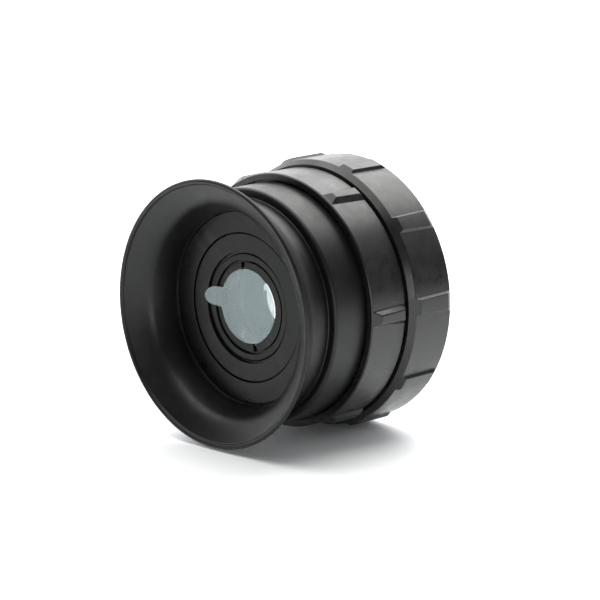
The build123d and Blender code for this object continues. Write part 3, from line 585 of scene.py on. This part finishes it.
# ---------------------------------------------------------------- rubber eyecup
rim = [(RIM - RIM_ROUND + RIM_ROUND * math.cos(a), RIM_ROUND - RIM_ROUND * math.sin(a), 0.0)
       for a in np.linspace(0, math.pi, 13)]
rim_inner, rim_outer = (RIM - 2 * RIM_ROUND, RIM_ROUND), (RIM, RIM_ROUND)
bevel_front = (ROOT_RADIUS + BEVEL, ROOT_DEPTH - BEVEL_DEPTH)
waist_way = (-WAIST_SLOPE, 1)
funnel = hermite(rim_inner, WAIST, (-1, RIM_SLOPE), waist_way, 24)
funnel += hermite(WAIST, bevel_front, waist_way, (-ROOT_SLOPE, 1), 20)[1:]
flare = hermite((NECK_RADIUS, NECK_DEPTH), rim_outer, (0, -1), (1, -FLARE_SLOPE), 28)
shoulder = [
    (SLEEVE_RADIUS - SLEEVE_ROUND * (1 - math.cos(a)),
     SHOULDER_DEPTH + SLEEVE_ROUND * (1 - math.sin(a)), 0.0)
    for a in np.linspace(0, math.pi / 2, 10)
]
eyecup = lathe("eyecup_rubber_cup", [
    *rim[:-1],
    *funnel,
    (ROOT_RADIUS, ROOT_DEPTH, 0.12),
    (ROOT_RADIUS, LIP_BACK, 0.05),
    (RETAINER_RIM + TOUCH, LIP_BACK, 0.05),
    (RETAINER_RIM + TOUCH, BARREL_FRONT, 0.05),
    (CUP_BORE, BARREL_FRONT, 0.05),
    (CUP_BORE, SLEEVE_BACK, 0.1),
    (SLEEVE_RADIUS + SLEEVE_DRAFT, SLEEVE_BACK, 0.25),
    *shoulder,
    (NECK_RADIUS, SHOULDER_DEPTH, 0.35),
    *flare[:-1],
], 256)
finished(eyecup, "eyecup_rubber", "barrel", "eyecup")

# ---------------------------------------------------------------- front faces
retainer = lathe("front_retainer", [
    (RETAINER_INNER, RETAINER_FACE, 0.08),
    (ROOT_RADIUS - FIT, RETAINER_FACE, 0.15),
    (ROOT_RADIUS - FIT, LIP_BACK + TOUCH, 0.03),
    (RETAINER_RIM, LIP_BACK + TOUCH, 0.1),
    (RETAINER_RIM, BARREL_FRONT - TOUCH, 0.05),
    (RETAINER_BORE - TOUCH, BARREL_FRONT - TOUCH, 0.05),
    (RETAINER_BORE - TOUCH, RETAINER_BACK, 0.1),
    (RETAINER_SKIRT, RETAINER_BACK, 0.1),
    (RETAINER_SKIRT, LEDGE_BACK, 0.1),
    (LEDGE_RADIUS, LEDGE_BACK, 0.05),
    (LEDGE_RADIUS, PLATE_BACK + TOUCH, 0.05),
    (RETAINER_INNER, PLATE_BACK + TOUCH, 0.05),
])
finished(retainer, "moulded_front", "barrel", "eyecup_retainer")

plate = lathe("front_face_plate", [
    (PLATE_BORE, PLATE_FACE, 0.12),
    *[(PLATE_EDGE - inset, PLATE_FACE + drop, 0.0) for inset, drop in PLATE_BREAK],
    (PLATE_EDGE, PLATE_RIM_FRONT, 0.05),
    (RETAINER_INNER - TOUCH, PLATE_RIM_FRONT, 0.03),
    (RETAINER_INNER - TOUCH, PLATE_BACK, 0.03),
    (PLATE_BORE, PLATE_BACK, 0.05),
    (PLATE_BORE, SEAL_BACK + TOUCH, 0.02),
    (SEAL_RADIUS + TOUCH, SEAL_BACK + TOUCH, 0.02),
    (SEAL_RADIUS + TOUCH, SEAL_FRONT - TOUCH, 0.02),
    (PLATE_BORE, SEAL_FRONT - TOUCH, 0.02),
])
finished(plate, "moulded_front", "barrel", "face_plate")

wiper = lathe("nose_wiper", [
    (NOSE_RADIUS + FIT, SEAL_FRONT + SEAL_LIP_BEVEL, 0.06),
    (SEAL_BODY, SEAL_FRONT, 0.1),
    (SEAL_RADIUS, SEAL_FRONT, 0.05),
    (SEAL_RADIUS, SEAL_BACK, 0.05),
    (SEAL_BODY, SEAL_BACK, 0.1),
    (NOSE_RADIUS + FIT, SEAL_BACK - SEAL_LIP_BEVEL, 0.06),
])
finished(wiper, "seal_rubber", "barrel", "nose_seal")

# ---------------------------------------------------------------- sliding cell and optics
cell = lathe("cell_body", [
    (MOUTH_RADIUS, NOSE_FACE, 0.1),
    (NOSE_RADIUS, NOSE_FACE, 0.28),
    (NOSE_RADIUS, CELL_SHOULDER, 0.05),
    (CELL_RADIUS, CELL_SHOULDER, 0.15),
    (CELL_RADIUS, CELL_WAIST_FRONT, 0.1),
    (CELL_WAIST, CELL_WAIST_FRONT, 0.05),
    (CELL_WAIST, CELL_WAIST_BACK, 0.05),
    (CELL_RADIUS, CELL_WAIST_BACK, 0.1),
    (CELL_RADIUS, CELL_BACK, 0.2),
    (FIELD_BORE, CELL_BACK, 0.15),
    (FIELD_BORE, FIELD_BORE_FRONT, 0.05),
    (FIELD_SEAT_RADIUS, FIELD_BORE_FRONT, 0.05),
    (FIELD_SEAT_RADIUS, FIELD_SEAT, 0.05),
    (DOUBLET_BORE, FIELD_SEAT, 0.05),
    (DOUBLET_BORE, WEB_BACK, 0.05),
    (WEB_RADIUS, WEB_BACK, 0.08),
    (WEB_RADIUS, WEB_FRONT, 0.08),
    (EYE_SEAT_RADIUS, WEB_FRONT, 0.05),
    (EYE_SEAT_RADIUS, EYE_BORE_BACK, 0.05),
    (EYE_BORE, EYE_BORE_BACK, 0.05),
    (EYE_BORE, MOUTH_BACK, 0.02),
    (MOUTH_RADIUS, MOUTH_BACK, 0.02),
])
finished(cell, "blackened_cell", "lens_cell", "lens_cell")

eye_retainer = lathe("eye_retainer", [
    (EYE_OPENING, EYE_RETAINER_FACE, 0.1),
    (EYE_BORE - TOUCH, EYE_RETAINER_FACE, 0.08),
    (EYE_BORE - TOUCH, EYE_RETAINER_BACK, 0.05),
    (EYE_SEAT_RADIUS, EYE_RETAINER_BACK, 0.05),
    (EYE_SEAT_RADIUS, EYE_SKIRT_FRONT, 0.05),
    (EYE_OPENING, EYE_LIP_BACK, 0.08),
])
slot_floor = EYE_RETAINER_FACE + SLOT_DEPTH
cut(eye_retainer, bar_cutter("slots", 11.0, SLOT_WIDTH, 11.0, slot_floor, EYE_SLOT_ANGLE))
finished(eye_retainer, "blackened_cell", "lens_cell", "eye_lens_retainer")

field_retainer = lathe("field_retainer", [
    (FIELD_OPENING, FIELD_LIP_FRONT, 0.1),
    (FIELD_LIP_RADIUS, FIELD_LIP_FRONT, 0.03),
    (FIELD_LIP_RADIUS, FIELD_RETAINER_FRONT, 0.05),
    (FIELD_BORE - TOUCH, FIELD_RETAINER_FRONT, 0.05),
    (FIELD_BORE - TOUCH, FIELD_RETAINER_BACK, 0.08),
    (FIELD_OPENING, FIELD_RETAINER_BACK, 0.3),
])
slot_floor = FIELD_RETAINER_BACK - SLOT_DEPTH
cut(field_retainer, bar_cutter("slots", 16.0, SLOT_WIDTH, slot_floor, 31.0, 0.0))
finished(field_retainer, "blackened_cell", "lens_cell", "field_lens_retainer")


def lens(name, sizes, node):
    """Turned lens with polished spherical faces and a ground rim."""
    radius, front, back, front_sag, back_sag = sizes
    count = 22
    edge_round = 0.06

    def face(vertex, sag, sign):
        ball = (radius**2 + sag**2) / (2 * abs(sag))
        out = []
        for i in range(count):
            r = radius * i / (count - 1)
            drop = ball - math.sqrt(ball * ball - r * r)
            out.append((r, vertex + sign * math.copysign(drop, sag), 0.0))
        out[-1] = (*out[-1][:2], edge_round)
        return out

    obj = lathe(name, face(front, front_sag, 1) + face(back, back_sag, -1)[::-1], 128)
    return finished(obj, "optical_glass", "lens_cell", node)


lens("eye_lens_glass", EYE_LENS, "eye_lens")
lens("crown_glass", CROWN, "doublet_crown")
lens("flint_glass", FLINT, "doublet_flint")
lens("field_lens_glass", FIELD_LENS, "field_lens")

window_front = WINDOW_SEAT + TOUCH
window_back = window_front + WINDOW_THICKNESS
window = lathe("window_glass", [
    (0, window_front, 0),
    (WINDOW_RADIUS, window_front, WINDOW_BEVEL),
    (WINDOW_RADIUS, window_back, WINDOW_BEVEL),
    (0, window_back, 0),
], 128)
finished(window, "optical_glass", "barrel", "rear_window")

# ---------------------------------------------------------------- protective film
def along_tab(x, z):
    """A point's distance along the tab's direction and across it."""
    tx, tz = math.cos(TAB_WAY), math.sin(TAB_WAY)
    return x * tx + z * tz, -x * tz + z * tx


def film_edge(angle):
    """Distance from the film's centre to its edge in a direction, disc and tab in one outline."""
    dx, dz = math.cos(angle), math.sin(angle)
    end = TAB_REACH - TAB_HALF
    low, high = 0.0, 14.0
    for _ in range(40):
        mid = (low + high) / 2
        along, side = along_tab(FILM_X + dx * mid, FILM_Z + dz * mid)
        beyond = math.hypot(max(along - end, 0, -along), side)
        low, high = (mid, high) if beyond < TAB_HALF else (low, mid)
    blend = 0.5
    h = max(blend - abs(FILM_R - low), 0) / blend
    return max(FILM_R, low) + h * h * blend / 4


def film_lift(x, z):
    """How far the film stands off towards the eye at a point: gentle waves, and the lifted tab."""
    along, _ = along_tab(x, z)
    t = max(0.0, (along - TAB_BEND) / (TAB_REACH - TAB_BEND))
    waves = 0.012 * math.sin(x * 0.9 + 0.4) * math.cos(z * 0.7) + 0.008 * math.sin(z * 1.7 + x * 0.6)
    flatness = 1 - 0.6 * t
    return TAB_LIFT * t**1.7 + waves * flatness + 0.012


points, faces = [], []
spokes, hoops = 220, 30
crowding = 0.62                  # how strongly the spokes crowd round the tab
for depth in (FILM_FRONT, FILM_BACK):
    for i in range(hoops + 1):
        share = (i / hoops) ** 0.8
        for k in range(spokes):
            a = TURN * k / spokes
            a -= crowding * math.sin(a - TAB_WAY)
            r = film_edge(a) * share
            x, z = FILM_X + r * math.cos(a), FILM_Z + r * math.sin(a)
            points.append((x * MM, (depth - film_lift(x, z) - SEAT) * MM, z * MM))
per = spokes * (hoops + 1)
for layer in (0, 1):
    for i in range(hoops):
        for k in range(spokes):
            q = (k + 1) % spokes
            a, b = layer * per + i * spokes, layer * per + (i + 1) * spokes
            quad = (a + k, b + k, b + q, a + q)
            faces.append(quad if layer == 0 else quad[::-1])
for k in range(spokes):
    q = (k + 1) % spokes
    a, b = hoops * spokes, per + hoops * spokes
    faces.append((a + k, b + k, b + q, a + q))
sheet = build("lens_film", points, faces)
sheet.data.set_sharp_from_angle(angle=math.radians(40))
finished(sheet, "film", "lens_cell", "protective_film")


# ---------------------------------------------------------------- dioptre ring
def dioptre_skin(s, u):
    """Outer radius of the dioptre ring: edge breaks and six tapered lugs."""
    ends = min(s - DIOPTRE_FRONT, DIOPTRE_BACK - s)
    base = DIOPTRE_R - soft_floor(EDGE_BREAK - ends, 0.12)
    rise = DIOPTRE_TOP - DIOPTRE_R
    half_width = DIOPTRE_LUG_HALF + DIOPTRE_WIDENING * (s - DIOPTRE_LUG_FRONT)
    side = (half_width - abs(u)) / (DIOPTRE_LUG_HALF - DIOPTRE_TOP_HALF) * rise
    front = (s - DIOPTRE_LUG_FRONT) / (DIOPTRE_TOP_FRONT - DIOPTRE_LUG_FRONT) * rise
    rear = (DIOPTRE_LUG_BACK - s) / (DIOPTRE_LUG_BACK - DIOPTRE_TOP_BACK) * rise
    lug = soft_min([side, front, rear, rise + 0.02], 0.2)
    return base + soft_floor(lug, 0.18)


def crowded(spans):
    """Depths through (start, end, step) spans that follow one another, each evenly filled."""
    out = []
    for start, end, step in spans:
        count = max(1, int(math.ceil((end - start) / step)))
        out += [start + (end - start) * i / count for i in range(count)]
    out.append(spans[-1][1])
    return out


depths = crowded([
    (DIOPTRE_FRONT + SKIN_INSET, 23.2, 0.05),
    (23.2, 29.6, 0.7),
    (29.6, DIOPTRE_BACK - SKIN_INSET, 0.05),
])
# The doubled points next to the edges keep the flat end faces' normals straight.  The bore is plain:
# the CAD ring's three cam grooves are not repeated here, so the guide pins run into its wall.
dioptre = lugged("dioptre_grip", [
    (DIOPTRE_R - EDGE_BREAK, DIOPTRE_BACK, 0.0),
    (DIOPTRE_R - EDGE_BREAK - NEAR, DIOPTRE_BACK, 0.0),
    (DIOPTRE_THRUST_RADIUS, DIOPTRE_BACK, 0.12),
    (DIOPTRE_THRUST_RADIUS, DIOPTRE_THRUST_FACE, 0.05),
    (DIOPTRE_BORE, DIOPTRE_THRUST_FACE, 0.05),
    (DIOPTRE_BORE, DIOPTRE_MOUTH_BACK, 0.05),
    (DIOPTRE_MOUTH, DIOPTRE_MOUTH_BACK, 0.08),
    (DIOPTRE_MOUTH, DIOPTRE_FRONT, 0.12),
    (DIOPTRE_R - EDGE_BREAK - NEAR, DIOPTRE_FRONT, 0.0),
    (DIOPTRE_R - EDGE_BREAK, DIOPTRE_FRONT, 0.0),
], DIOPTRE_R, dioptre_skin, depths, DIOPTRE_PHASE, DIOPTRE_LUGS, 2.45, 24)
finished(dioptre, "anodised_rings", "dioptre_ring", "dioptre_ring")


# ---------------------------------------------------------------- coupling ring
def coupling_skin(s, u):
    """Outer radius of the coupling ring: front chamfer, rear chamfer and ten lugs."""
    chamfer = (COUPLING_R - COUPLING_NOSE) / (COUPLING_CHAMFER_BACK - COUPLING_FRONT)
    cone = COUPLING_NOSE + (s - COUPLING_FRONT) * chamfer
    rear = COUPLING_R - soft_floor(s - COUPLING_BACK + COUPLING_REAR_CHAMFER, 0.15)
    rise = COUPLING_TOP - COUPLING_R
    half_width = COUPLING_LUG_HALF + COUPLING_WIDENING * (s - COUPLING_FRONT)
    side = (half_width - abs(u)) / (COUPLING_LUG_HALF - COUPLING_TOP_HALF) * rise
    back = (COUPLING_LUG_BACK - s) / (COUPLING_LUG_BACK - COUPLING_TOP_BACK) * rise
    lug = soft_floor(soft_min([side, back, rise + 0.02], 0.16), 0.14)
    return soft_min([cone, rear + lug], 0.12)


depths = crowded([
    (COUPLING_FRONT + SKIN_INSET, 34.1, 0.06),
    (34.1, 41.9, 0.8),
    (41.9, COUPLING_BACK - SKIN_INSET, 0.06),
])
coupling = lugged("coupling_grip", [
    (COUPLING_R - COUPLING_REAR_CHAMFER, COUPLING_BACK, 0.0),
    (COUPLING_R - COUPLING_REAR_CHAMFER - NEAR, COUPLING_BACK, 0.0),
    (THREAD_RADIUS + THREAD_MOUTH, COUPLING_BACK, 0.08),
    (THREAD_RADIUS, COUPLING_BACK - THREAD_MOUTH, 0.1),
    (THREAD_RADIUS, SEAT, 0.05),
    (RELIEF_RADIUS, SEAT, 0.05),
    (RELIEF_RADIUS, JOURNAL_BACK, 0.05),
    (JOURNAL_BORE, JOURNAL_BACK, 0.05),
    (JOURNAL_BORE, COUPLING_FRONT, 0.15),
    (COUPLING_NOSE - NEAR, COUPLING_FRONT, 0.0),
    (COUPLING_NOSE, COUPLING_FRONT, 0.0),
], COUPLING_R, coupling_skin, depths, COUPLING_PHASE, COUPLING_LUGS, 2.6, 12)
finished(coupling, "anodised_rings", "coupling_ring", "coupling_ring")

# internal thread of the coupling ring, with a run-out at each end
steps_per_turn = 96
run_in, run_out = 40, 60
count = int((THREAD_END - THREAD_START) / PITCH * steps_per_turn)
root = THREAD_RADIUS + THREAD_SINK
points, faces = [], []
for i in range(count + 1):
    t = TURN * i / steps_per_turn
    s = THREAD_START + PITCH * i / steps_per_turn
    crest = THREAD_RADIUS - THREAD_HEIGHT * soft_step(i / run_in) * soft_step((count - i) / run_out)
    for r, o in (
        (root, THREAD_ROOT_HALF),
        (crest, THREAD_CREST_HALF),
        (crest, -THREAD_CREST_HALF),
        (root, -THREAD_ROOT_HALF),
    ):
        points.append(place(r, t, s + o))
for i in range(count):
    for k in range(4):
        q = (k + 1) % 4
        a, b = i * 4, (i + 1) * 4
        faces.append((a + k, a + q, b + q, b + k))
faces += [(0, 1, 2, 3), tuple(count * 4 + k for k in (3, 2, 1, 0))]
thread = build("coupling_thread", points, faces)
thread.data.set_sharp_from_angle(angle=math.radians(25))
finished(thread, "anodised_rings", "coupling_ring")

# ---------------------------------------------------------------- mounting flange and its screws
flange = lathe("rear_flange", [
    (FLANGE_BORE, FLANGE_FRONT, 0.1),
    (SPIGOT_RADIUS, FLANGE_FRONT, 0.2),
    (SPIGOT_RADIUS, FLANGE_FACE, 0.05),
    (FLANGE_RADIUS, FLANGE_FACE, 0.08),
    (FLANGE_RADIUS, SEAT, 0.28),
    (GROOVE_OUTER, SEAT, 0.08),
    (GROOVE_OUTER, GROOVE_FLOOR, 0.05),
    (GROOVE_INNER, GROOVE_FLOOR, 0.05),
    (GROOVE_INNER, SEAT, 0.08),
    (WINDOW_POCKET, SEAT, 0.12),
    (WINDOW_POCKET, WINDOW_SEAT, 0.05),
    (FLANGE_BORE, WINDOW_SEAT, 0.08),
])
screw_angles = [FIRST_SCREW + TURN * k / SCREW_COUNT for k in range(SCREW_COUNT)]
screw_hole = [(0.8, 33.0), (0.8, 36.75), (1.55, SEAT), (1.66, 37.56), (1.66, 38.5)]
index_hole = [(0.99, 35.5), (0.99, 37.38), (1.14, 37.53), (1.14, 38.5)]
shank = [(0.78, 30.6), (0.78, 36.73), (1.44, 37.39), (1.47, 37.42), (1.44, 37.45)]
socket = [(0.6, 36.85), (0.6, 37.4), (0.68, 37.47), (0.68, 38.0)]
holes = [turned_cutter(f"hole{k}", screw_hole, SCREW_CIRCLE, angle)
         for k, angle in enumerate(screw_angles)]
holes.append(turned_cutter("index", index_hole, SCREW_CIRCLE, math.pi / 2))
cut(flange, joined("holes", holes))
finished(flange, "anodised_body", "barrel", "mount_flange")

screws = joined("flange_screw_set", [turned_cutter(f"screw{k}", shank, SCREW_CIRCLE, angle)
                                     for k, angle in enumerate(screw_angles)])
sockets = [turned_cutter(f"socket{k}", socket, SCREW_CIRCLE, angle, 6)
           for k, angle in enumerate(screw_angles)]
cut(screws, joined("sockets", sockets))
finished(screws, "steel", "barrel", "flange_screws")

gasket = lathe("seat_gasket_ring", [
    (GASKET_CIRCLE + GASKET_ROUND * math.cos(a), GASKET_DEPTH + GASKET_ROUND * math.sin(a), 0.0)
    for a in np.linspace(0, TURN, 24, endpoint=False)
])
finished(gasket, "seal_rubber", "barrel", "seat_gasket")

window_ring = lathe("window_ring", [
    (FLANGE_BORE, WINDOW_RING_FRONT, 0.08),
    (WINDOW_RADIUS, WINDOW_RING_FRONT, 0.05),
    (WINDOW_RADIUS, WINDOW_RING_BACK, 0.1),
    (FLANGE_BORE, WINDOW_RING_BACK, 0.15),
])
cut(window_ring, bar_cutter("slots", 19.5, SLOT_WIDTH, WINDOW_RING_BACK - 0.4, 38.2, 0.0))
finished(window_ring, "blackened_cell", "barrel", "window_retainer")

# ---------------------------------------------------------------- CAD nodes that stay
for node, obj in frame["nodes"].items():
    if obj.hide_render:
        continue
    obj.data.materials.clear()
    obj.data.materials.append(FINISH[SLOT_OF[node]])

# ---------------------------------------------------------------- stage
RIM_CENTRE = Vector((0, -SEAT * MM, 0))
LOOK_AT = RIM_CENTRE + Vector((0.0130, 0.0140, 0.0032))
EYE = RIM_CENTRE + Vector((0.5284, -0.4988, 0.1644))
back = (EYE - LOOK_AT).normalized()
camera_data = bpy.data.cameras.new("camera")
camera_data.lens = 210
camera_data.sensor_width = 36
camera = bpy.data.objects.new("camera", camera_data)
camera.location = EYE
camera.rotation_mode = "QUATERNION"
camera.rotation_quaternion = back.to_track_quat("Z", "Y")
bpy.context.scene.collection.objects.link(camera)
bpy.context.scene.camera = camera
bpy.context.scene.view_settings.view_transform = "Standard"

n = Nodes("pale_floor")
spot = n.add("ShaderNodeTexCoord").outputs["Object"]
pale = n.mix(n.span(n.noise(spot, 9.0), 0.3, 0.7, 0.0, 1.0),
             (0.92, 0.94, 0.955, 1), (0.94, 0.96, 0.975, 1))
floor_shader = n.add("ShaderNodeBsdfPrincipled", {"Base Color": pale, "Roughness": 0.85})
floor_finish = n.output(floor_shader.outputs[0])
floor_mesh = bpy.data.meshes.new("floor")
FLOOR_GAP = 0.0002
reach = 30.0
floor_mesh.from_pydata([(-reach, -reach, 0), (reach, -reach, 0), (reach, reach, 0), (-reach, reach, 0)],
                       [], [(0, 1, 2, 3)])
floor_mesh.materials.append(floor_finish)
floor = bpy.data.objects.new("floor", floor_mesh)
floor.location.z = cad_low.z - FLOOR_GAP
bpy.context.scene.collection.objects.link(floor)

world = bpy.data.worlds.new("studio")
bpy.context.scene.world = world
world.use_nodes = True
tree = world.node_tree
tree.nodes.clear()


def world_node(kind, **settings):
    node = tree.nodes.new(kind)
    for key, value in settings.items():
        setattr(node, key, value)
    return node


# the surroundings are bright behind the object on its left and dim in front; the camera sees white
way = world_node("ShaderNodeTexCoord")
facing = world_node("ShaderNodeVectorMath", operation="DOT_PRODUCT")
tree.links.new(way.outputs["Generated"], facing.inputs[0])
facing.inputs[1].default_value = (-0.70, 0.70, 0.10)
ramp = world_node("ShaderNodeValToRGB")
ramp.color_ramp.interpolation = "EASE"
ramp.color_ramp.elements[0].position = 0.08
ramp.color_ramp.elements[0].color = grey(0.15)
ramp.color_ramp.elements[1].position = 0.75
ramp.color_ramp.elements[1].color = grey(2.4)
tree.links.new(facing.outputs["Value"], ramp.inputs[0])
light = world_node("ShaderNodeBackground")
tree.links.new(ramp.outputs[0], light.inputs[0])
light.inputs[1].default_value = 1.0
white = world_node("ShaderNodeBackground")
white.inputs[0].default_value = grey(1.0)
white.inputs[1].default_value = 1.0
ray = world_node("ShaderNodeLightPath")
both = world_node("ShaderNodeMixShader")
tree.links.new(ray.outputs["Is Camera Ray"], both.inputs[0])
tree.links.new(light.outputs[0], both.inputs[1])
tree.links.new(white.outputs[0], both.inputs[2])
out = world_node("ShaderNodeOutputWorld")
tree.links.new(both.outputs[0], out.inputs[0])


def softbox(name, at, towards, width, height, power, colour):
    """Soft rectangular light."""
    data = bpy.data.lights.new(name, "AREA")
    data.shape = "RECTANGLE"
    data.size, data.size_y = width, height
    data.energy = power
    data.color = colour
    obj = bpy.data.objects.new(name, data)
    obj.location = at
    way = Vector(towards) - Vector(at)
    obj.rotation_mode = "QUATERNION"
    obj.rotation_quaternion = (-way).to_track_quat("Z", "Y")
    bpy.context.scene.collection.objects.link(obj)
    return obj


softbox("overhead", (-0.20, 0.28, 0.80), (-0.20, 0.28, 0), 1.0, 1.55, 14.6, (1.0, 0.985, 0.965))
floor_wash = softbox("floor_wash", (-0.35, 0.5, 0.35), (-0.16, 0.19, -0.03), 0.4, 0.4, 2.4, (1.0, 1.0, 1.0))
front_fill = softbox("front_fill", (0.55, -0.45, 0.55), (0, 0, 0), 0.8, 0.8, 1.6, (1.0, 1.0, 1.0))
# both only lift the floor: black glossy finishes would mirror them
for wash in (floor_wash, front_fill):
    wash.visible_glossy = False
softbox("front_right", (0.74, -0.51, 0.10), (0, 0, 0), 0.16, 0.16, 0.85, (0.97, 0.98, 1.0))
